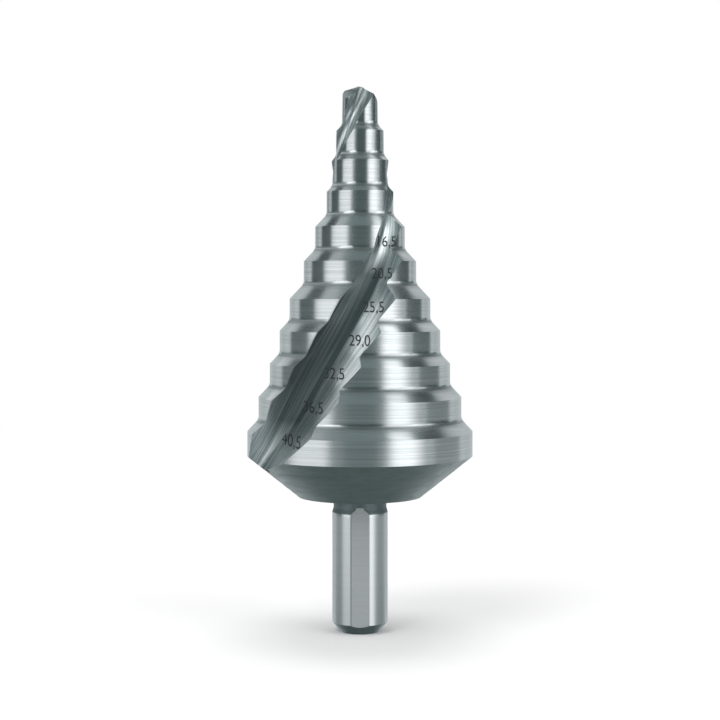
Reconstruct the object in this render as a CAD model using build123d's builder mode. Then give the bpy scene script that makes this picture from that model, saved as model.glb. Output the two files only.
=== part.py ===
from build123d import *
import math
import os

# Step drill with a round shank, ground from one bar of high-speed steel.
# The axis is Z, the shank end stands on Z = 0 and the point is at the top.
# Seen along +Y, the open side of the front flute faces the viewer.

# Shank: a cylinder with an end chamfer and three flats for a three-jaw chuck
shank_diameter = 10.0
shank_length = 21.65
shank_chamfer = 1.5
shank_chamfer_angle = 40.0
flat_count = 3
flat_depth = 0.28
flat_overrun = 1.2

# Neck between the shank and the back of the cutting head
shoulder_length = 0.85
neck_diameter = 9.52
neck_length = 1.95

# Back of the head: a flat face, then a taper out to the largest step
back_face_diameter = 22.14
back_taper_angle = 51.2

# Cutting steps from the point to the back: diameter and height of each land
step_diameters = [6.5, 8.5, 10.5, 12.5, 16.5, 20.5, 25.5, 29.0, 32.5, 36.5, 40.5]
step_heights = [4.87, 4.23, 4.46, 4.11, 4.0, 4.0, 3.81, 4.05, 3.82, 4.0, 4.4]
step_half_angle = 43.0

# Point: one flat flank behind each lip
point_angle = 118.0
flank_clearances = [39.0, 19.1]

# Flutes: right-hand, with a lead that grows towards the back
flute_count = 2
lip_angle = 77.6
lead_at_point = 36.2
lead_at_back = 204.5

# Core left between the flutes: a cone from the point, and the root of each flute
core_radius_at_point = 0.29
core_half_angle = 12.65
root_radius_at_point = 1.0
root_radius_at_back = 4.0
root_growth_length = 30.0

# Run-out, where the grinding wheel lifts off along its own radius
run_out_length = 10.0
run_out_radius = 40.0

# Margins by which the cutters pass the blank, and the sections of each flute cutter
cutter_margin = 2.0
section_count = 17

# Heights along the axis
neck_start = shank_length + shoulder_length
back_face_height = neck_start + neck_length
rim_radius = step_diameters[-1] / 2
back_taper_height = (rim_radius - back_face_diameter / 2) / math.tan(math.radians(back_taper_angle))
rim_height = back_face_height + back_taper_height


def step_outline():
    """Corners of the stepped edge, from the largest land up to the smallest, as (radius, height)."""
    corners = []
    height = rim_height
    radius = rim_radius
    for diameter, land in zip(reversed(step_diameters), reversed(step_heights)):
        height += (radius - diameter / 2) / math.tan(math.radians(step_half_angle))
        radius = diameter / 2
        corners.append((radius, height))
        height += land
        corners.append((radius, height))
    return corners


steps = step_outline()
tip_radius = step_diameters[0] / 2
lip_slope = 1 / math.tan(math.radians(point_angle / 2))
overall_length = steps[-1][1] + tip_radius * lip_slope
cutting_length = overall_length - rim_height


def lead_growth():
    """Lead gained for each millimetre along the axis."""
    return (lead_at_back - lead_at_point) / cutting_length


def rake_angle(depth):
    """Polar angle of the cutting edge at a depth below the point, in degrees.

    The lead grows evenly with depth, so the turn is the logarithm of the lead.
    """
    growth = lead_growth()
    return lip_angle - 360 / growth * math.log(1 + growth * depth / lead_at_point)


def section_depth(index):
    """Depth of a cutter section: equal turns of the flute lie between neighbours."""
    growth = lead_growth()
    first = 1 - growth * cutter_margin / 2 / lead_at_point
    last = 1 + growth * (cutting_length + back_taper_height - cutter_margin / 2) / lead_at_point
    return (first * (last / first) ** (index / (section_count - 1)) - 1) * lead_at_point / growth


def core_radius(depth):
    """Distance from the axis to the heel wall: a cone, then the arc of the run-out."""
    cone = core_radius_at_point + depth * math.tan(math.radians(core_half_angle))
    past = max(0.0, depth - (cutting_length - run_out_length))
    return cone + past**2 / (2 * run_out_radius)


def root_radius(depth):
    """Fillet between the two flute walls: it grows behind the point, then stays the same."""
    share = min(1.0, max(0.0, depth / root_growth_length))
    return root_radius_at_point + share * (root_radius_at_back - root_radius_at_point)


# One flute cutter: a quarter plane whose corner follows the core
# The first wall is the radial rake face, and the heel wall stands square to it
with BuildPart() as flute_cutter:
    reach = rim_radius + root_radius_at_back + cutter_margin
    for index in range(section_count):
        depth = section_depth(index)
        core = core_radius(depth)
        root = root_radius(depth)
        with BuildSketch(Plane((0, 0, overall_length - depth)).rotated((0, 0, rake_angle(depth)))):
            with BuildLine():
                Polyline((core + root, 0), (reach, 0), (reach, reach), (core, reach), (core, root))
                CenterArc((core + root, root), root, 180, 90)
            make_face()
    loft()


# The drill itself: the turned blank, then flats, point flanks and flutes
with BuildPart() as step_drill:
    shank_radius = shank_diameter / 2
    neck_radius = neck_diameter / 2
    with BuildSketch(Plane.XZ):
        with BuildLine():
            Polyline(
                (0, 0),
                (shank_radius - shank_chamfer, 0),
                (shank_radius, shank_chamfer / math.tan(math.radians(shank_chamfer_angle))),
                (shank_radius, shank_length),
                (neck_radius, neck_start),
                (neck_radius, back_face_height),
                (back_face_diameter / 2, back_face_height),
                (rim_radius, rim_height),
                *steps[1:-1],
                (tip_radius, overall_length + cutter_margin),
                (0, overall_length + cutter_margin),
                close=True,
            )
        make_face()
    revolve(axis=Axis.Z)

    # Three flats along the shank, one of them towards the viewer
    with BuildSketch(Plane.XY):
        with PolarLocations(shank_radius - flat_depth, flat_count, start_angle=-90):
            Rectangle(shank_radius, shank_diameter, align=(Align.MIN, Align.CENTER))
    extrude(amount=shank_length + flat_overrun, mode=Mode.SUBTRACT)

    # Flank of each lip: a plane through the lip that falls away behind it
    for lip, clearance in enumerate(flank_clearances):
        facing = math.radians(lip_angle + lip * 360 / flute_count)
        fall = math.tan(math.radians(clearance))
        normal = (
            lip_slope * math.cos(facing) + fall * math.sin(facing),
            lip_slope * math.sin(facing) - fall * math.cos(facing),
            1,
        )
        split(bisect_by=Plane((0, 0, overall_length), z_dir=normal), keep=Keep.BOTTOM)

    # Flutes, evenly spaced about the axis
    with PolarLocations(0, flute_count):
        add(flute_cutter.part, mode=Mode.SUBTRACT)

step_drill.part.label = "step_drill"

os.makedirs("parts", exist_ok=True)
export_step(step_drill.part, "parts/step_drill.step")
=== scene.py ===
import math

import bmesh
import bpy
import numpy as np
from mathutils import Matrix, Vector


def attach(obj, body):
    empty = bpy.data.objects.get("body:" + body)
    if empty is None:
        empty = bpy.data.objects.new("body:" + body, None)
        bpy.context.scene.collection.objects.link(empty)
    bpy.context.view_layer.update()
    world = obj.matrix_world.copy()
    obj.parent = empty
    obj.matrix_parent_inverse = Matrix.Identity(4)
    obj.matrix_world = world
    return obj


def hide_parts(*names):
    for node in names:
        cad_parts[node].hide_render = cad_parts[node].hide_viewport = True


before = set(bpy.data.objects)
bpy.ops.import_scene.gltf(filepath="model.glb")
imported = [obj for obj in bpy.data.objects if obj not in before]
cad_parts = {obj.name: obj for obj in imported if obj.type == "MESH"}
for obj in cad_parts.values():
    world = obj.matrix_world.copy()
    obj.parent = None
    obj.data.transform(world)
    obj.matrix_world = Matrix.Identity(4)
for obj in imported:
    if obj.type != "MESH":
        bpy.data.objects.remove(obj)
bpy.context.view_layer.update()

# The drill is one piece of high-speed steel, turned, hardened and then ground: eleven steps, two
# right-hand flutes, a flat-flanked point and a shank with three flats. Only the back of the head,
# the neck and the end chamfer keep the dark skin of the hardening.
MM = 0.001

SHANK_RADIUS = 5.0 * MM
SHANK_LENGTH = 21.65 * MM
SHANK_CHAMFER = 1.5 * MM
SHANK_CHAMFER_ANGLE = math.radians(40.0)
FLAT_COUNT = 3
FLAT_DISTANCE = SHANK_RADIUS - 0.28 * MM
FLAT_OVERRUN = 1.2 * MM
FLAT_EDGE_TURN = math.acos(FLAT_DISTANCE / SHANK_RADIUS)
FLAT_PITCH = 2 * math.pi / FLAT_COUNT
SHOULDER_LENGTH = 0.85 * MM
NECK_RADIUS = 4.76 * MM
NECK_LENGTH = 1.95 * MM
BACK_FACE_RADIUS = 11.07 * MM
BACK_TAPER_ANGLE = math.radians(51.2)

STEP_RADII = np.array([6.5, 8.5, 10.5, 12.5, 16.5, 20.5, 25.5, 29.0, 32.5, 36.5, 40.5]) / 2 * MM
STEP_HEIGHTS = np.array([4.87, 4.23, 4.46, 4.11, 4.0, 4.0, 3.81, 4.05, 3.82, 4.0, 4.4]) * MM
STEP_HALF_ANGLE = math.radians(43.0)
LAND_RELIEF = 0.12 * MM
CORNER_RADIUS = 1.6 * MM

HALF_POINT_ANGLE = math.radians(59.0)
FLANK_CLEARANCES = np.radians([39.0, 19.1])

FLUTE_COUNT = 2
LIP_ANGLE = math.radians(77.6)
LEAD_AT_POINT = 36.2 * MM
LEAD_AT_BACK = 204.5 * MM
CORE_AT_POINT = 0.29 * MM
CORE_HALF_ANGLE = math.radians(12.65)
ROOT_AT_POINT = 1.0 * MM
ROOT_AT_BACK = 4.0 * MM
ROOT_GROWTH = 30.0 * MM
RUN_OUT_LENGTH = 10.0 * MM
RUN_OUT_RADIUS = 40.0 * MM

RIM_RADIUS = STEP_RADII[-1]
NECK_START = SHANK_LENGTH + SHOULDER_LENGTH
BACK_FACE_HEIGHT = NECK_START + NECK_LENGTH
BACK_TAPER_HEIGHT = (RIM_RADIUS - BACK_FACE_RADIUS) / math.tan(BACK_TAPER_ANGLE)
RISERS = np.diff(STEP_RADII) / math.tan(STEP_HALF_ANGLE)
POINT_HEIGHT = STEP_RADII[0] / math.tan(HALF_POINT_ANGLE)
CUTTING_LENGTH = STEP_HEIGHTS.sum() + RISERS.sum() + POINT_HEIGHT
OVERALL_LENGTH = BACK_FACE_HEIGHT + BACK_TAPER_HEIGHT + CUTTING_LENGTH
BACK_FACE_DEPTH = OVERALL_LENGTH - BACK_FACE_HEIGHT

# Corners of the blank's outline, as depths below the point and radii
LAND_ENDS = POINT_HEIGHT + np.cumsum(STEP_HEIGHTS) + np.concatenate(([0], np.cumsum(RISERS)))
LAND_STARTS = LAND_ENDS - STEP_HEIGHTS
CORNER_DEPTHS = np.append(np.stack([LAND_STARTS, LAND_ENDS], axis=1).ravel(), BACK_FACE_DEPTH)
CORNER_RADII = np.append(np.repeat(STEP_RADII, 2), BACK_FACE_RADIUS)
CORNER_SETBACK = CORNER_RADIUS * math.tan(STEP_HALF_ANGLE / 2)
CORNER_DROP = CORNER_RADIUS * math.sin(STEP_HALF_ANGLE) - CORNER_SETBACK

# Rounds in which the heel wall's end follows the land's relief, and halvings of an interval
HEEL_ROUNDS = 3
HALVINGS = 40


def blank_radius(depth):
    """Radius of the turned blank: straight lines, with an arc where a land runs into a cone."""
    radius = np.interp(depth, CORNER_DEPTHS, CORNER_RADII)
    for land_end, land_radius in zip(LAND_ENDS[:-1], STEP_RADII[:-1]):
        along = depth - land_end + CORNER_SETBACK
        arc = land_radius + CORNER_RADIUS - np.sqrt(np.maximum(CORNER_RADIUS**2 - along**2, 0))
        radius = np.where((along > 0) & (along < CORNER_SETBACK + CORNER_DROP), arc, radius)
    return radius


def rake_angle(depth):
    """Turn of the cutting edge: the lead grows evenly with depth, so the turn is its logarithm."""
    growth = (LEAD_AT_BACK - LEAD_AT_POINT) / CUTTING_LENGTH
    return LIP_ANGLE - 2 * math.pi / growth * np.log(1 + growth * depth / LEAD_AT_POINT)


def core_radius(depth):
    """Distance from the axis to the heel wall: a cone, then the arc where the wheel lifts off."""
    past = np.maximum(0, depth - (CUTTING_LENGTH - RUN_OUT_LENGTH))
    return CORE_AT_POINT + depth * math.tan(CORE_HALF_ANGLE) + past**2 / (2 * RUN_OUT_RADIUS)


def root_radius(depth):
    """Fillet between the flute walls: it grows behind the point, then stays the same."""
    return ROOT_AT_POINT + np.clip(depth / ROOT_GROWTH, 0, 1) * (ROOT_AT_BACK - ROOT_AT_POINT)


# Columns of the surface run round each half: land, rake wall, root fillet, heel wall
LAND, RAKE, ROOT, HEEL = range(4)
REGION_COLUMNS = (72, 10, 20, 18)
COLUMN_REGION = np.tile(np.repeat(range(4), REGION_COLUMNS), FLUTE_COUNT)
COLUMN_SHARE = np.tile(np.concatenate([np.arange(n) / n for n in REGION_COLUMNS]), FLUTE_COUNT)
COLUMN_TURN = np.repeat(np.arange(FLUTE_COUNT), sum(REGION_COLUMNS)) * 2 * math.pi / FLUTE_COUNT
COLUMNS = len(COLUMN_REGION)


def section(depth):
    """Radius and polar angle of every column at each depth, counter-clockwise.

    In axes that turn with the rake wall, the heel wall is the line x = core, the rake wall is the
    line y = 0, and the root is the circle that touches both. The blank's circle cuts off their
    outer ends. The land is an arc whose radius falls evenly behind the cutting edge.
    """
    radius = blank_radius(depth)
    core = core_radius(depth)
    root = root_radius(depth)
    middle = np.hypot(core + root, root)
    lean = np.arctan2(root, core + root)
    fade = np.interp(depth, [CUTTING_LENGTH, BACK_FACE_DEPTH], [1, 0])

    def cut(circle):
        """Angle along the root circle, from its point nearest the axis, where the blank cuts it."""
        return np.arccos(np.clip((middle**2 + root**2 - circle**2) / (2 * root * middle), -1, 1))

    rake_end = np.minimum(1.5 * math.pi, math.pi + lean + cut(radius))
    rake_x = np.where(rake_end < 1.5 * math.pi, core + root + root * np.cos(rake_end), radius)
    rake_y = root + root * np.sin(rake_end)
    rake_turn = np.arctan2(rake_y, rake_x)
    heel_radius = radius
    for _ in range(HEEL_ROUNDS):
        heel_end = np.maximum(math.pi, math.pi + lean - cut(heel_radius))
        heel_x = core + root + root * np.cos(heel_end)
        open_y = np.sqrt(np.maximum(heel_radius**2 - core**2, 0))
        heel_y = np.where(heel_end > math.pi, root + root * np.sin(heel_end), open_y)
        heel_turn = np.arctan2(heel_y, heel_x)
        heel_radius = radius - fade * LAND_RELIEF * (math.pi - heel_turn + rake_turn)

    share = COLUMN_SHARE
    along = rake_end + share * (heel_end - rake_end)
    inner_rake = core + root + root * np.cos(rake_end)
    inner_heel = root + root * np.sin(heel_end)
    on_rake = rake_x + share * (inner_rake - rake_x), rake_y + 0 * share
    on_root = core + root + root * np.cos(along), root + root * np.sin(along)
    on_heel = heel_x + 0 * share, inner_heel + share * (heel_y - inner_heel)
    region = np.broadcast_to(COLUMN_REGION, np.broadcast(depth, share).shape)
    walls = [region == RAKE, region == ROOT, region == HEEL]
    x, y = [np.select(walls, places, 0) for places in zip(on_rake, on_root, on_heel)]
    behind = (1 - share) * (math.pi - heel_turn + rake_turn)
    relieved = radius - fade * LAND_RELIEF * behind
    on_land = region == LAND
    reach = np.where(on_land, relieved, np.minimum(np.hypot(x, y), radius))
    turn = np.where(on_land, rake_turn - behind, np.arctan2(y, x))
    return reach, rake_angle(depth) + COLUMN_TURN + turn


def flank_height(x, y):
    """Height of the two flank planes over a point: each holds its lip and falls away behind it."""
    lip_slope = 1 / math.tan(HALF_POINT_ANGLE)
    planes = []
    for lip, clearance in enumerate(FLANK_CLEARANCES):
        facing = LIP_ANGLE + lip * 2 * math.pi / FLUTE_COUNT
        ahead = x * math.cos(facing) + y * math.sin(facing)
        behind = x * math.sin(facing) - y * math.cos(facing)
        planes.append(OVERALL_LENGTH - lip_slope * ahead - math.tan(clearance) * behind)
    return planes


# Depths between which every column meets the flanks
HIGHEST_POINT_DEPTH = -1.5 * MM
LOWEST_POINT_DEPTH = 5.0 * MM


def point_depth():
    """Depth at which each column meets the flank planes, found by halving an interval."""
    low = np.full(COLUMNS, HIGHEST_POINT_DEPTH)
    high = np.full(COLUMNS, LOWEST_POINT_DEPTH)
    for _ in range(HALVINGS):
        depth = (low + high) / 2
        reach, turn = section(depth[None, :])
        height = np.minimum(*flank_height(reach[0] * np.cos(turn[0]), reach[0] * np.sin(turn[0])))
        above = OVERALL_LENGTH - depth > height
        low = np.where(above, depth, low)
        high = np.where(above, high, depth)
    return (low + high) / 2


def shank_columns():
    """Polar angles of the shank's columns: each third is a flat and a round stretch."""
    third = COLUMNS // FLAT_COUNT
    on_flat = third // 3
    one = np.concatenate([
        np.linspace(-FLAT_EDGE_TURN, FLAT_EDGE_TURN, on_flat, endpoint=False),
        np.linspace(FLAT_EDGE_TURN, FLAT_PITCH - FLAT_EDGE_TURN, third - on_flat, endpoint=False),
    ])
    return np.concatenate([one + FLAT_PITCH * k for k in range(FLAT_COUNT)]) - math.pi / 2


def turn_from_flat(turn):
    """Polar angle from the middle of the nearest flat, of which the first faces the viewer."""
    return (turn + math.pi / 2 + FLAT_PITCH / 2) % FLAT_PITCH - FLAT_PITCH / 2


def shank_corners(turn):
    """Radii and heights of the shank's outline at each polar angle, from the end face to the neck.

    A flat holds the radius to its distance over the cosine of the angle from its middle. It meets
    the end chamfer and the shoulder cone where they have that radius, and ends in the neck.
    """
    side = np.minimum(SHANK_RADIUS, FLAT_DISTANCE / np.cos(turn_from_flat(turn)))
    end_radius = SHANK_RADIUS - SHANK_CHAMFER
    chamfer_top = (side - end_radius) / math.tan(SHANK_CHAMFER_ANGLE)
    fall = (SHANK_RADIUS - side) / (SHANK_RADIUS - NECK_RADIUS)
    flat_top = SHANK_LENGTH + FLAT_OVERRUN
    side_top = np.where(fall > 1, flat_top, SHANK_LENGTH + fall * SHOULDER_LENGTH)
    neck_bottom = np.maximum(side_top, NECK_START)
    none = 0 * turn
    radii = [none, none + end_radius, side, side, none + NECK_RADIUS, none + NECK_RADIUS]
    heights = [none, none, chamfer_top, side_top, neck_bottom, none + BACK_FACE_HEIGHT]
    return np.array(radii), np.array(heights)


def between(first, last, count, last_too=False):
    """Rows from one row of values to another in even steps."""
    share = np.linspace(0, 1, count + last_too, endpoint=last_too)[:, None]
    return first + share * (last - first)


# Rows of the surface along the drill, and the finishes, which are its materials in this order
SHANK_ROWS = (3, 4, 30, 4, 5)
BACK_FACE_ROWS = 8
TAPER_ROWS = 12
RUN_OUT_ROWS = 24
RISER_ROWS = 3
CORNER_ROWS = 8
LAND_ROWS = 9
TIP_ROWS = 18
EXIT_TRIES = 4001
DARK, SHANK, GROUND, FLUTE, FLANK, FLAT = range(6)


def drill_surface():
    """Rows of radius, polar angle and height from the shank end up to the point, with finishes.

    The shank's outline carries its own columns. Across the back face and the lower part of the
    taper the columns turn evenly into those of the fluted section, which go on to the point.
    """
    # The flutes leave the head where their root lies as far from the axis as the blank's surface
    taper = np.linspace(CUTTING_LENGTH, BACK_FACE_DEPTH, EXIT_TRIES)
    core, root = core_radius(taper), root_radius(taper)
    web = np.hypot(core + root, root) - root
    exit_depth = taper[np.argmax(web > np.interp(taper, CORNER_DEPTHS, CORNER_RADII))]
    _, exit_turn = section(np.full((1, COLUMNS), exit_depth))
    step = 2 * math.pi / COLUMNS
    even = np.arange(COLUMNS) * step
    even = even + np.mean(exit_turn[0] - even)
    # The shank's columns are numbered on, so that each runs into the nearest column of the flutes
    around = shank_columns()
    shift = int(round(np.mean(even - around) / step))
    order = np.arange(COLUMNS) + shift
    around = around[order % COLUMNS] + 2 * math.pi * (order // COLUMNS)

    reach, turn, height, finish = [], [], [], []

    def add(radii, turns, heights, kind):
        shapes = np.shape(radii), np.shape(turns), np.shape(heights), (1, COLUMNS)
        rows = np.broadcast_shapes(*shapes)
        reach.append(np.broadcast_to(radii, rows))
        turn.append(np.broadcast_to(turns, rows))
        height.append(np.broadcast_to(heights, rows))
        finish.append(np.broadcast_to(kind, rows))

    radii, heights = shank_corners(around)
    on_flat = np.abs(turn_from_flat(around)) < FLAT_EDGE_TURN
    kinds = (DARK, DARK, np.where(on_flat, FLAT, SHANK), DARK, DARK)
    for k, rows in enumerate(SHANK_ROWS):
        add(
            between(radii[k], radii[k + 1], rows),
            around, between(heights[k], heights[k + 1], rows), kinds[k],
        )
    add(
        between(radii[-1], np.full(COLUMNS, BACK_FACE_RADIUS), BACK_FACE_ROWS),
        between(around, even, BACK_FACE_ROWS), BACK_FACE_HEIGHT, DARK,
    )
    depths = between(BACK_FACE_DEPTH, exit_depth, TAPER_ROWS)
    add(
        np.interp(depths, CORNER_DEPTHS, CORNER_RADII),
        between(even, exit_turn[0], TAPER_ROWS), OVERALL_LENGTH - depths, DARK,
    )

    # Rows lie closest where the flutes leave the head
    crowded = 1 - np.sqrt(1 - np.linspace(0, 1, RUN_OUT_ROWS, endpoint=False)[:, None] ** 2)
    blocks = [(exit_depth + crowded * (CUTTING_LENGTH - exit_depth), DARK)]
    bottom = CUTTING_LENGTH
    for k in reversed(range(1, len(STEP_RADII))):
        blocks.append((between(bottom, LAND_STARTS[k], LAND_ROWS), GROUND))
        bottom = LAND_ENDS[k - 1] - CORNER_SETBACK
        arc_start = LAND_ENDS[k - 1] + CORNER_DROP
        blocks.append((between(LAND_STARTS[k], arc_start, RISER_ROWS), GROUND))
        blocks.append((between(arc_start, bottom, CORNER_ROWS), GROUND))
    tip_start = np.full(COLUMNS, bottom)
    blocks.append((between(tip_start, point_depth(), TIP_ROWS, last_too=True), GROUND))
    for depths, kind in blocks:
        radii, turns = section(np.broadcast_to(depths, (len(depths), COLUMNS)))
        add(radii, turns, OVERALL_LENGTH - depths, np.where(COLUMN_REGION == LAND, kind, FLUTE))
    return [np.concatenate(part) for part in (reach, turn, height, finish)]


def grid_faces(rows, columns):
    """Corner numbers of the squares of a grid that closes on itself round the axis."""
    low = np.arange(rows - 1)[:, None] * columns + np.arange(columns)
    right = np.arange(rows - 1)[:, None] * columns + (np.arange(columns) + 1) % columns
    return np.stack([low, right, right + columns, low + columns], axis=-1).reshape(-1, 4)


def across_flute(reach, turn, depth):
    """Distance across the flute from the border of root and heel wall, outwards on the heel wall.

    It is measured on the uncut walls, so its lines run straight past the steps of the blank. The
    first column of a land closes the heel wall before it, so lands are measured in that frame.
    """
    on_land = COLUMN_REGION == LAND
    local = turn - rake_angle(depth) - COLUMN_TURN + on_land * 2 * math.pi / FLUTE_COUNT
    x, y = reach * np.cos(local), reach * np.sin(local)
    core, root = core_radius(depth), root_radius(depth)
    around_root = -root * (np.arctan2(y - root, x - core - root) % (2 * math.pi) - math.pi)
    on_rake = -root * math.pi / 2 - (x - core - root)
    walls = [COLUMN_REGION == ROOT, COLUMN_REGION == RAKE]
    return np.select(walls, [around_root, on_rake], y - root)


# How dull the ground flutes are, which roughens them and paints shade into their colour: along them
# at depths in millimetres below the point, and across each wall at shares of its width. The short
# stretch at the point lies beside the rake wall.
DULL_AND_SHADE_ALONG = ((29.5, 33.5, 59.0, 64.4), (0.0, 1.0, 1.0, 0.1))
DULL_AND_SHADE_ON_ROOT = ((0.0, 0.3, 0.6, 1.0), (0.25, 0.66, 0.74, 0.86))
DULL_AND_SHADE_ON_HEEL = ((0.0, 0.28), (0.86, 0.0))
DULL_AND_SHADE_ON_RAKE = 0.25
POINT_ALONG = ((3.2, 5.2), (1.0, 0.0))
POINT_ON_ROOT = ((0.3, 0.6), (0.6, 0.0))
POINT_ON_HEEL = ((0.15, 0.5), (0.0, 0.4))
# Shade is painted darkest into the corner arcs, which are also roughest there, just below each
# land's end, at this depth and this far to each side
CORNER_SHADE_DEPTH = 0.2 * MM
DULL_AND_SHADE_AT_CORNER = ((0.125, 0.375), (0.4, 0.0))
# Roughness that full dullness adds, and that the flutes have at the point
MATT = 0.4
MATT_AT_POINT = ((8.0, 12.0), (0.05, 0.0))


def flute_shine_and_shade(depth):
    """How bright the flute is, with shade painted in: 1 less the dullness along it times that
    across it.

    The dullness sets in behind a third of the length, eases off towards the end of the head, and
    fades out across the heel wall. It roughens the steel and paints shade into its colour, darkest
    in the root. A short stretch beside the rake wall at the point is dull and shaded too.
    """
    regions = [COLUMN_REGION == ROOT, COLUMN_REGION == HEEL]
    across = [np.interp(COLUMN_SHARE, *DULL_AND_SHADE_ON_ROOT), np.interp(COLUMN_SHARE, *DULL_AND_SHADE_ON_HEEL)]
    at_point = [np.interp(COLUMN_SHARE, *POINT_ON_ROOT), np.interp(COLUMN_SHARE, *POINT_ON_HEEL)]
    # Painted shade: the dullness darkens the flute's colour, most in the root of its lower part and
    # beside the rake wall at the point, and also makes it rougher.
    dull_and_shade = np.select(regions, across, DULL_AND_SHADE_ON_RAKE) * np.interp(depth / MM, *DULL_AND_SHADE_ALONG)
    return 1 - dull_and_shade - np.select(regions, at_point, 0) * np.interp(depth / MM, *POINT_ALONG)


def corner_shine_and_shade(depth):
    """Painted shade in the arc where a land runs into a cone, where the steel is also made rougher.
    """
    # Painted shade: the arc just below each land's end is darkened, and made rougher.
    off = np.min(np.abs(depth[..., None] - LAND_ENDS[:-1] - CORNER_SHADE_DEPTH), axis=-1)
    return 1 - np.interp(off / MM, *DULL_AND_SHADE_AT_CORNER)


def grain_places(reach, turn, height, finish):
    """Places in the grain at the corners of every quad, in millimetres: along it, then across.

    The grain runs round the axis on the turned faces and along the flutes on their walls.
    """
    wrapped = np.concatenate([turn, turn[:, :1] + 2 * math.pi], axis=1)
    wide = np.concatenate([reach, reach[:, :1]], axis=1)
    tall = np.concatenate([height, height[:, :1]], axis=1)
    across = across_flute(reach, turn, OVERALL_LENGTH - height)
    across = np.concatenate([across, across[:, :1]], axis=1)
    round_uv = np.stack([wrapped * wide, tall + wide], axis=-1) / MM
    flute_uv = np.stack([OVERALL_LENGTH - tall, across], axis=-1) / MM

    def corners(uv):
        return np.stack([uv[:-1, :-1], uv[:-1, 1:], uv[1:, 1:], uv[1:, :-1]], axis=2)

    in_flute = (finish[:-1] == FLUTE)[..., None, None]
    return np.where(in_flute, corners(flute_uv), corners(round_uv)).reshape(-1, 2)


def build_drill():
    """The whole surface as one mesh: the grid of rows and columns, closed by the two flanks.

    It carries the places for the grain, its painted light (1 is unshaded, less paints shade into
    the colour) and its matt value, the roughness that is added to that of the material.
    """
    reach, turn, height, finish = drill_surface()
    x, y = reach * np.cos(turn), reach * np.sin(turn)
    points = np.stack([x, y, height], axis=-1).reshape(-1, 3)
    quads = grid_faces(len(reach), COLUMNS)

    first, second = flank_height(x[-1], y[-1])
    on_first = first < second
    change = np.flatnonzero(on_first != np.roll(on_first, 1))
    ring = np.arange(COLUMNS)
    flanks = [ring[change[0]:change[1] + 1], np.append(ring[change[1]:], ring[:change[0] + 1])]
    last_row = (len(reach) - 1) * COLUMNS
    faces = quads.tolist() + [(last_row + flank).tolist() for flank in flanks]
    flank_uv = [np.stack([x[-1], y[-1]], axis=-1)[flank] / MM for flank in flanks]
    uv = np.concatenate([grain_places(reach, turn, height, finish), *flank_uv])

    depth = OVERALL_LENGTH - height
    in_flute, on_step = finish == FLUTE, finish == GROUND
    # Painted shade in the flute roots, at the point and in the corner arcs: this value darkens the
    # colour, and the matt value made from it roughens the steel.
    shine_and_shade = np.select([in_flute, on_step], [flute_shine_and_shade(depth), corner_shine_and_shade(depth)], 1)
    matt = MATT * (1 - shine_and_shade) + in_flute * np.interp(depth / MM, *MATT_AT_POINT)
    kinds = np.append(finish[:-1].reshape(-1), [FLANK, FLANK]).astype(np.int32)

    mesh = bpy.data.meshes.new("step_drill")
    mesh.from_pydata(points, [], faces)
    mesh.uv_layers.new(name="grain").data.foreach_set("uv", uv.ravel())
    mesh.attributes.new("painted_light", "FLOAT", "POINT").data.foreach_set("value", shine_and_shade.ravel())
    mesh.attributes.new("matt", "FLOAT", "POINT").data.foreach_set("value", matt.ravel())
    mesh.polygons.foreach_set("material_index", kinds)
    mesh.polygons.foreach_set("use_smooth", kinds != FLANK)
    return mesh


def weld(mesh, distance):
    """Joins vertices that lie on each other, where columns or rows have run together."""
    shell = bmesh.new()
    shell.from_mesh(mesh)
    bmesh.ops.remove_doubles(shell, verts=shell.verts, dist=distance)
    bmesh.ops.dissolve_degenerate(shell, edges=shell.edges, dist=distance)
    shell.to_mesh(mesh)
    shell.free()


def place(name, mesh):
    """Puts a finished mesh into the scene, unturned, at the origin."""
    piece = bpy.data.objects.new(name, mesh)
    bpy.context.scene.collection.objects.link(piece)
    return piece


def new_material(name):
    """A material with its node tree and its main shader."""
    material = bpy.data.materials.new(name)
    material.use_nodes = True
    return material, material.node_tree, material.node_tree.nodes["Principled BSDF"]


def feed(tree, socket, value):
    """Links another node's output to a socket, or sets the socket to a number or colour."""
    if isinstance(value, bpy.types.NodeSocket):
        tree.links.new(value, socket)
    else:
        socket.default_value = value


def maths(tree, operation, first, second):
    """Output of a node that adds, multiplies or compares two values."""
    node = tree.nodes.new("ShaderNodeMath")
    node.operation = operation
    feed(tree, node.inputs[0], first)
    feed(tree, node.inputs[1], second)
    return node.outputs[0]


def remap(tree, value, start, end, low=0.0, high=1.0, curve="LINEAR"):
    """Output of a node that turns start to end into low to high, and holds both ends."""
    node = tree.nodes.new("ShaderNodeMapRange")
    node.interpolation_type = curve
    node.inputs["From Min"].default_value = start
    node.inputs["From Max"].default_value = end
    node.inputs["To Min"].default_value = low
    node.inputs["To Max"].default_value = high
    tree.links.new(value, node.inputs["Value"])
    return node.outputs[0]


def mixed(tree, factor, first, second):
    """Output of a node that goes from one colour to another."""
    node = tree.nodes.new("ShaderNodeMix")
    node.data_type = "RGBA"
    feed(tree, node.inputs["Factor"], factor)
    feed(tree, node.inputs["A"], first)
    feed(tree, node.inputs["B"], second)
    return node.outputs["Result"]


def surface_value(tree, name):
    """Output of a node that reads one of the mesh's own values."""
    node = tree.nodes.new("ShaderNodeAttribute")
    node.attribute_name = name
    return node.outputs["Fac"]


BROAD_SHARE = 0.34  # frequency of the broad streaks as a share of that of the fine ones


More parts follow.
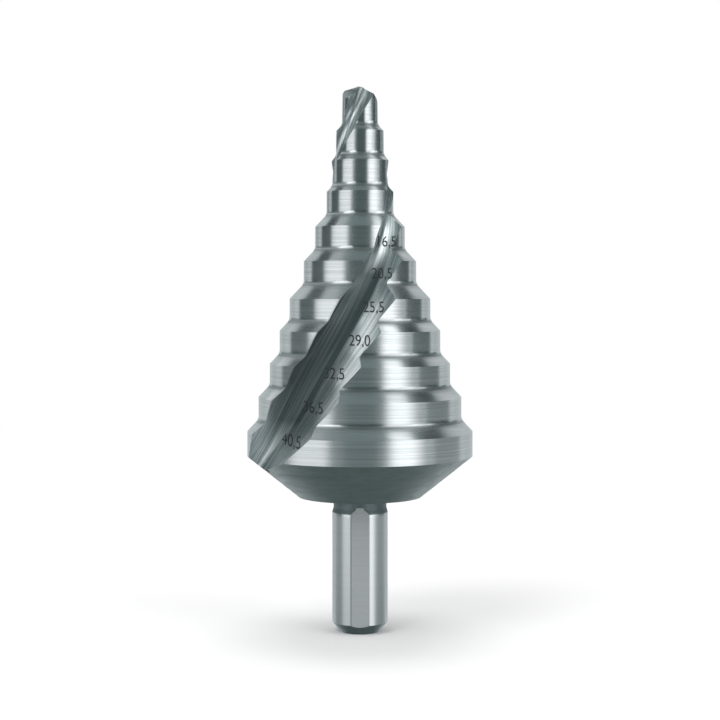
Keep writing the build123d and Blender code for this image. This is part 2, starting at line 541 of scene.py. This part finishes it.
def grain_group():
    """Node group for ground metal: streaks drawn out along U, as a grinding wheel leaves them."""
    group = bpy.data.node_groups.new("ground grain", "ShaderNodeTree")
    for name, value in (("Along", 0.05), ("Across", 8.0), ("Detail", 4.0)):
        socket = group.interface.new_socket(name, in_out="INPUT", socket_type="NodeSocketFloat")
        socket.default_value = value
    for name in ("Fine", "Broad"):
        group.interface.new_socket(name, in_out="OUTPUT", socket_type="NodeSocketFloat")
    nodes, links = group.nodes, group.links
    given = nodes.new("NodeGroupInput")
    result = nodes.new("NodeGroupOutput")
    place_on = nodes.new("ShaderNodeUVMap")
    place_on.uv_map = "grain"
    split = nodes.new("ShaderNodeSeparateXYZ")
    links.new(place_on.outputs["UV"], split.inputs[0])
    for output, widen in (("Fine", 1.0), ("Broad", BROAD_SHARE)):
        joined = nodes.new("ShaderNodeCombineXYZ")
        for axis, frequency in (("X", "Along"), ("Y", "Across")):
            scaled = maths(group, "MULTIPLY", split.outputs[axis], given.outputs[frequency])
            links.new(maths(group, "MULTIPLY", scaled, widen), joined.inputs[axis])
        noise = nodes.new("ShaderNodeTexNoise")
        noise.noise_dimensions = "2D"
        noise.inputs["Scale"].default_value = 1.0
        noise.inputs["Roughness"].default_value = 0.6
        links.new(joined.outputs[0], noise.inputs["Vector"])
        links.new(given.outputs["Detail"], noise.inputs["Detail"])
        links.new(noise.outputs["Fac"], result.inputs[output])
    return group


GRAIN = grain_group()
# Colour towards which painted shade darkens the steel
PAINTED_SHADE_COLOUR = (0.002, 0.03, 0.032, 1)


def steel(name, dark, light, rough, along, across, bump, metallic, anisotropic, spread=0.2):
    """A ground or skinned steel: grain varies its colour and roughness and lifts a fine bump.

    Roughness is given as the least and the most, the grain as its frequency along and across the
    streaks per millimetre, the bump in millimetres, and spread as the share of the grain's range
    that takes the colour from dark to light. The surface's own painted light value darkens the
    colour where shade is painted, and its matt value is added to the roughness.
    """
    material, tree, shader = new_material(name)
    shader.inputs["Metallic"].default_value = metallic
    shader.inputs["Anisotropic"].default_value = anisotropic
    shader.inputs["Anisotropic Rotation"].default_value = 0.25
    tangent = tree.nodes.new("ShaderNodeTangent")
    tangent.direction_type = "UV_MAP"
    tangent.uv_map = "grain"
    tree.links.new(tangent.outputs[0], shader.inputs["Tangent"])
    grain = tree.nodes.new("ShaderNodeGroup")
    grain.node_tree = GRAIN
    grain.inputs["Along"].default_value = along
    grain.inputs["Across"].default_value = across
    both = maths(tree, "ADD", grain.outputs["Fine"], grain.outputs["Broad"])
    shade = remap(tree, maths(tree, "MULTIPLY", both, 0.5), 0.5 - spread, 0.5 + spread)
    ground = mixed(tree, shade, (*dark, 1), (*light, 1))
    # Painted shade: the colour goes towards the shade colour where the surface's painted light
    # value is below 1.
    colour = mixed(tree, surface_value(tree, "painted_light"), PAINTED_SHADE_COLOUR, ground)
    tree.links.new(colour, shader.inputs["Base Color"])
    rougher = remap(tree, grain.outputs["Fine"], 0.3, 0.7, rough[1], rough[0])
    softened = maths(tree, "ADD", rougher, surface_value(tree, "matt"))
    tree.links.new(softened, shader.inputs["Roughness"])
    lift = tree.nodes.new("ShaderNodeBump")
    lift.inputs["Strength"].default_value = 1.0
    lift.inputs["Distance"].default_value = bump * MM
    tree.links.new(grain.outputs["Fine"], lift.inputs["Height"])
    tree.links.new(lift.outputs[0], shader.inputs["Normal"])
    return material


WELD_DISTANCE = 0.0001 * MM
SHARP_ANGLE = math.radians(24.0)

drill_mesh = build_drill()
drill_mesh.materials.append(steel(
    "hardened skin", dark=(0.146, 0.19, 0.193), light=(0.178, 0.229, 0.232), rough=(0.46, 0.56),
    along=0.3, across=0.6, bump=0.001, metallic=0.7, anisotropic=0.0,
))
drill_mesh.materials.append(steel(
    "ground shank", dark=(0.58, 0.61, 0.61), light=(0.63, 0.66, 0.66), rough=(0.28, 0.31),
    along=0.02, across=3.0, bump=0.00006, metallic=1.0, anisotropic=0.4,
))
drill_mesh.materials.append(steel(
    "ground lands", dark=(0.5, 0.53, 0.53), light=(0.68, 0.71, 0.71), rough=(0.2, 0.27),
    along=0.02, across=7.0, bump=0.0006, metallic=1.0, anisotropic=0.75,
))
drill_mesh.materials.append(steel(
    "ground flutes", dark=(0.28, 0.345, 0.35), light=(0.82, 0.85, 0.85), rough=(0.2, 0.34),
    along=0.06, across=5.0, bump=0.0035, metallic=1.0, anisotropic=0.6, spread=0.14,
))
drill_mesh.materials.append(steel(
    "ground flanks", dark=(0.45, 0.48, 0.48), light=(0.66, 0.69, 0.69), rough=(0.22, 0.34),
    along=0.5, across=5.0, bump=0.001, metallic=1.0, anisotropic=0.0,
))
drill_mesh.materials.append(steel(
    "ground flats", dark=(0.43, 0.46, 0.46), light=(0.49, 0.52, 0.52), rough=(0.5, 0.6),
    along=0.03, across=4.0, bump=0.0002, metallic=0.5, anisotropic=0.0,
))
weld(drill_mesh, WELD_DISTANCE)
drill_mesh.set_sharp_from_angle(angle=SHARP_ANGLE)
drill = place("drill", drill_mesh)
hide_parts("step_drill")
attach(drill, "root")


# Hole sizes in millimetres, laser-marked in black on the heel wall of the front flute, one beside
# each of the larger steps. The digits are level and follow the wall.
MARK_HEIGHT = 1.9 * MM
MARK_NARROWING = 0.8
DIGIT_SHARE = 0.7  # height of a digit in the font's own size
MARK_LIFT = 0.03 * MM
MARK_REACH = 14 * MM
# Text, depth of its middle below the point, and distance of its middle from the rake wall; mm
MARKS = (
    ("16,5", 27.81, 3.05), ("20,5", 33.42, 4.3), ("25,5", 39.25, 5.75), ("29,0", 44.99, 6.9),
    ("32,5", 50.68, 5.95), ("36,5", 56.55, 5.95), ("40,5", 62.4, 6.2),
)


def heel_wall(depth, from_rake):
    """Distance of the heel wall from the plane of the axis, fillet included."""
    root = root_radius(depth)
    rise = np.maximum(root - from_rake, 0)
    return core_radius(depth) + root - np.sqrt(np.maximum(root**2 - rise**2, 0))


def flat_digits(text):
    """One mark as a flat mesh about the origin, cut fine so that it can follow the wall."""
    font = bpy.data.curves.new("mark", "FONT")
    font.body = text
    font.align_x = "CENTER"
    font.align_y = "CENTER"
    font.size = MARK_HEIGHT / DIGIT_SHARE
    holder = bpy.data.objects.new("mark", font)
    flat = bpy.data.meshes.new_from_object(holder)
    bpy.data.objects.remove(holder)
    digits = bmesh.new()
    digits.from_mesh(flat)
    bmesh.ops.triangulate(digits, faces=digits.faces)
    bmesh.ops.subdivide_edges(digits, edges=digits.edges, cuts=2)
    digits.to_mesh(flat)
    digits.free()
    return flat


def lay_on_wall(places, middle, from_rake):
    """Flat points laid on the heel wall about a depth and a distance from the rake wall.

    Every point keeps its level and its sideways place, so that the strokes stay upright. How far
    out on the wall that place lies is found by halving an interval.
    """
    turn = rake_angle(middle)
    centre = heel_wall(middle, from_rake) * math.cos(turn) - from_rake * math.sin(turn)
    sideways = centre + places[:, 0] * MARK_NARROWING
    depth = middle - places[:, 1]
    facing = rake_angle(depth)
    near, far = 0 * depth, 0 * depth + MARK_REACH
    for _ in range(HALVINGS):
        local_y = (near + far) / 2
        short = heel_wall(depth, local_y) * np.cos(facing) - local_y * np.sin(facing) < sideways
        near = np.where(short, local_y, near)
        far = np.where(short, far, local_y)
    local_x = heel_wall(depth, local_y) + MARK_LIFT
    return np.stack([
        local_x * np.cos(facing) - local_y * np.sin(facing),
        local_x * np.sin(facing) + local_y * np.cos(facing),
        OVERALL_LENGTH - depth,
    ], axis=-1)


def size_marks():
    """All the marks as one mesh: flat digits laid on the wall by the wall's own formula."""
    shell = bmesh.new()
    for text, middle, from_rake in MARKS:
        flat = flat_digits(text)
        places = np.empty(len(flat.vertices) * 3)
        flat.vertices.foreach_get("co", places)
        laid = lay_on_wall(places.reshape(-1, 3), middle * MM, from_rake * MM)
        flat.vertices.foreach_set("co", laid.ravel())
        shell.from_mesh(flat)
        bpy.data.meshes.remove(flat)
    mesh = bpy.data.meshes.new("size_marks")
    shell.to_mesh(mesh)
    shell.free()
    return mesh


def mark_material():
    """Laser marking: a dark burnt surface, almost without gloss."""
    material, tree, shader = new_material("laser marking")
    shader.inputs["Roughness"].default_value = 0.6
    place_on = tree.nodes.new("ShaderNodeTexCoord")
    noise = tree.nodes.new("ShaderNodeTexNoise")
    noise.inputs["Scale"].default_value = 3000
    tree.links.new(place_on.outputs["Object"], noise.inputs["Vector"])
    burnt = mixed(tree, noise.outputs["Fac"], (0.012, 0.014, 0.016, 1), (0.035, 0.038, 0.04, 1))
    tree.links.new(burnt, shader.inputs["Base Color"])
    return material


marks_mesh = size_marks()
marks_mesh.materials.append(mark_material())
marks = place("size_marks", marks_mesh)
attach(marks, "root")


# The floor is a plain pale sheet of paper that fades into the white behind it and keeps the
# drill's shadow.
FLOOR_RADIUS = 3.0
FLOOR_INNER_RING = 1.0 * MM
FADE_START = 0.08
FADE_END = 0.45


def floor_mesh():
    """A round sheet: rings about the axis on a grid of radius and angle."""
    rings, spokes = 24, 96
    radius = (np.linspace(0, 1, rings) ** 2 * FLOOR_RADIUS + FLOOR_INNER_RING)[:, None]
    angle = np.linspace(0, 2 * math.pi, spokes, endpoint=False)
    points = np.stack([radius * np.cos(angle), radius * np.sin(angle), 0 * radius * angle], axis=-1)
    faces = grid_faces(rings, spokes)[:, ::-1]
    mesh = bpy.data.meshes.new("floor")
    mesh.from_pydata(points.reshape(-1, 3), [], faces.tolist() + [list(range(spokes))])
    return mesh


def floor_material():
    """White paper: diffuse near the drill, and the plain white of the background farther out."""
    material, tree, paper = new_material("floor paper")
    paper.inputs["Base Color"].default_value = (0.88, 0.88, 0.88, 1)
    paper.inputs["Roughness"].default_value = 0.9
    paper.inputs["Specular IOR Level"].default_value = 0.0
    glow = tree.nodes.new("ShaderNodeEmission")
    place_on = tree.nodes.new("ShaderNodeTexCoord")
    length = tree.nodes.new("ShaderNodeVectorMath")
    length.operation = "LENGTH"
    tree.links.new(place_on.outputs["Object"], length.inputs[0])
    mix = tree.nodes.new("ShaderNodeMixShader")
    fade = remap(tree, length.outputs["Value"], FADE_START, FADE_END, curve="SMOOTHSTEP")
    tree.links.new(fade, mix.inputs[0])
    tree.links.new(paper.outputs[0], mix.inputs[1])
    tree.links.new(glow.outputs[0], mix.inputs[2])
    tree.links.new(mix.outputs[0], tree.nodes["Material Output"].inputs["Surface"])
    return material


sheet = floor_mesh()
sheet.materials.append(floor_material())
floor = place("floor", sheet)
floor.visible_glossy = False


# The light tent is the white and dark cards of a product studio, seen only as reflections in the
# steel: bright screens left and right of the camera, dark gaps between them, a grey ceiling and
# back.
TENT_RADIUS = 1.0
TENT_HEIGHT = 0.05
TENT_BASE = 0.12
BAR_STEPS = 25
# Middle and half width of the turn from the camera, lowest and highest rise, width of the soft
# edge, all in degrees, and level of light
TENT_PATCHES = (
    (0, 181, 10, 91, 8, 0.34),
    (0, 181, 77, 91, 8, 0.24),
    (0, 72, 44, 62, 8, 0.17),
    (0, 181, -14, 14, 6, 0.72),
    (180, 48, -14, 42, 12, 0.62),
    (180, 52, -44, -18, 8, 1.6),
    (142, 13, 15, 40, 8, 0.77),
    (-176, 8, -14, 14, 10, 0.46),
    (-97, 19, -5.5, 16, 6, 0.09),
    (99, 20, -5.5, 16, 6, 0.09),
    (-53, 20, -14, 18, 20, 1.3),
    (52, 25, -14, 16, 12, 0.58),
    (45, 15.5, -20, 22, 24, 1.8),
    (51, 20, 12, 44, 8, 1.3),
    (-2, 29, -6, 44, 12, 0.1),
    (0, 20, -6, -1, 5, 0.34),
    (0, 16, -14, -7, 6, 0.3),
)
# Bars of light or dark: turn and rise of both ends, half width and edge in degrees, and level
TENT_BARS = (
    (135, 12, 108, 34, 8, 8, 0.1),
    (-62, 35, -147, 7, 4, 7, 0.14),
    (-40, 49, -88, 43, 4, 7, 1.1),
    (-88, 42, -120, 30, 4, 6, 1.6),
    (-120, 30, -142, 22, 4, 5, 1.2),
    (48, -66, -34, -36, 8, 8, 0.6),
    (88, 21, 58, 43, 4, 6, 2.6),
    (71, 17, 62, 30, 3, 5, 2.4),
    (-27, 21, -58, 31, 4, 7, 2.6),
    (-26, 35, -60, 39, 4, 6, 2.2),
    (24, 55, -14, 53, 4, 8, 0.55),
    (99, 64, 84, 69.5, 4.2, 6, 2.9),
    (-114, 59, -98, 67, 4, 8, 0.9),
    (111, 51, 129, 45.5, 6.5, 6, 0.01),
    (-122, 49, -129, 43, 7.5, 6, 0.02),
)


def tent_mesh():
    """A sphere on a grid of rise and turn, closed at its poles, facing inwards.

    Its light level starts at the base and is painted over, first patch by patch, then bar by bar,
    with soft edges. A bar is every direction within its half width of the line between its ends.
    """
    rings, spokes = 181, 360
    rise = np.linspace(-math.pi / 2, math.pi / 2, rings)[:, None]
    turn = np.linspace(0, 2 * math.pi, spokes, endpoint=False)[None, :]
    points = TENT_RADIUS * np.stack([
        np.cos(rise) * np.sin(turn), -np.cos(rise) * np.cos(turn), np.sin(rise) + 0 * turn,
    ], axis=-1)
    points[..., 2] += TENT_HEIGHT
    mesh = bpy.data.meshes.new("light_tent")
    mesh.from_pydata(points.reshape(-1, 3), [], grid_faces(rings, spokes)[:, ::-1].tolist())
    level = TENT_BASE + 0 * rise * turn
    for middle, half, low, high, edge, value in TENT_PATCHES:
        off = np.abs((np.degrees(turn) - middle + 180) % 360 - 180)
        up = np.degrees(rise)
        inside = np.minimum(half - off, np.minimum(up - low, high - up)) / edge + 0.5
        share = np.clip(inside, 0, 1)
        level += (value - level) * share * share * (3 - 2 * share)
    for first_turn, first_rise, last_turn, last_rise, half, edge, value in TENT_BARS:
        nearest = -1 + 0 * level
        for step in np.linspace(0, 1, BAR_STEPS):
            at_turn = math.radians(first_turn + step * (last_turn - first_turn))
            at_rise = math.radians(first_rise + step * (last_rise - first_rise))
            upright = np.sin(rise) * math.sin(at_rise)
            sideways = np.cos(rise) * math.cos(at_rise) * np.cos(turn - at_turn)
            nearest = np.maximum(nearest, upright + sideways)
        off = np.degrees(np.arccos(np.clip(nearest, -1, 1)))
        share = np.clip((half - off) / edge + 0.5, 0, 1)
        level += (value - level) * share * share * (3 - 2 * share)
    mesh.attributes.new("light", "FLOAT", "POINT").data.foreach_set("value", level.ravel())
    return mesh


def tent_material():
    """Light at the level of the card in each direction; the dark cards are bluish green."""
    material, tree, unused = new_material("tent light")
    tree.nodes.remove(unused)
    level = surface_value(tree, "light")
    tint = mixed(tree, remap(tree, level, 0.08, 0.8), (0.75, 1, 1.03, 1), (0.99, 1, 1.02, 1))
    glow = tree.nodes.new("ShaderNodeEmission")
    tree.links.new(tint, glow.inputs["Color"])
    tree.links.new(level, glow.inputs["Strength"])
    tree.links.new(glow.outputs[0], tree.nodes["Material Output"].inputs["Surface"])
    return material


tent_sheet = tent_mesh()
tent_sheet.materials.append(tent_material())
tent = place("light_tent", tent_sheet)
tent.visible_camera = False
tent.visible_diffuse = False
tent.visible_shadow = False
tent.visible_transmission = False


def softbox(name, location, size, power):
    """A square soft lamp that looks at the middle of the drill."""
    lamp = bpy.data.lights.new(name, "AREA")
    lamp.shape = "SQUARE"
    lamp.size = size
    lamp.energy = power
    holder = bpy.data.objects.new(name, lamp)
    holder.location = location
    towards = Vector((0, 0, OVERALL_LENGTH / 2)) - Vector(location)
    holder.rotation_euler = towards.to_track_quat("-Z", "Y").to_euler()
    holder.visible_glossy = False
    bpy.context.scene.collection.objects.link(holder)


softbox("key_lamp", (-0.5, -0.6, 0.9), 0.6, 5.0)
softbox("fill_lamp", (0.7, -0.5, 0.6), 0.7, 3.0)
softbox("top_lamp", (0.0, 0.3, 1.1), 0.7, 4.0)


# Plain white surroundings: full white to the camera and in reflections, softer as a light.
world = bpy.data.worlds.new("studio")
bpy.context.scene.world = world
world.use_nodes = True
air = world.node_tree
path = air.nodes.new("ShaderNodeLightPath")
seen = maths(air, "MAXIMUM", path.outputs["Is Camera Ray"], path.outputs["Is Glossy Ray"])
seen = maths(air, "MAXIMUM", seen, path.outputs["Is Transmission Ray"])
background = air.nodes["Background"]
background.inputs["Color"].default_value = (1, 1, 1, 1)
air.links.new(remap(air, seen, 0.0, 1.0, 0.6, 1.0), background.inputs["Strength"])


# The camera stands a little above the middle of the drill and looks slightly down on it.
CAMERA_DISTANCE = 0.2929
CAMERA_HEIGHT = 0.0619
AIM_HEIGHT = 0.04896
FOCAL_LENGTH = 81.63

lens = bpy.data.cameras.new("camera")
lens.lens = FOCAL_LENGTH
lens.sensor_width = 36
camera = bpy.data.objects.new("camera", lens)
camera.location = (0, -CAMERA_DISTANCE, CAMERA_HEIGHT)
aim = Vector((0, 0, AIM_HEIGHT)) - camera.location
camera.rotation_euler = aim.to_track_quat("-Z", "Y").to_euler()
bpy.context.scene.collection.objects.link(camera)
bpy.context.scene.camera = camera
bpy.context.scene.view_settings.view_transform = "Standard"
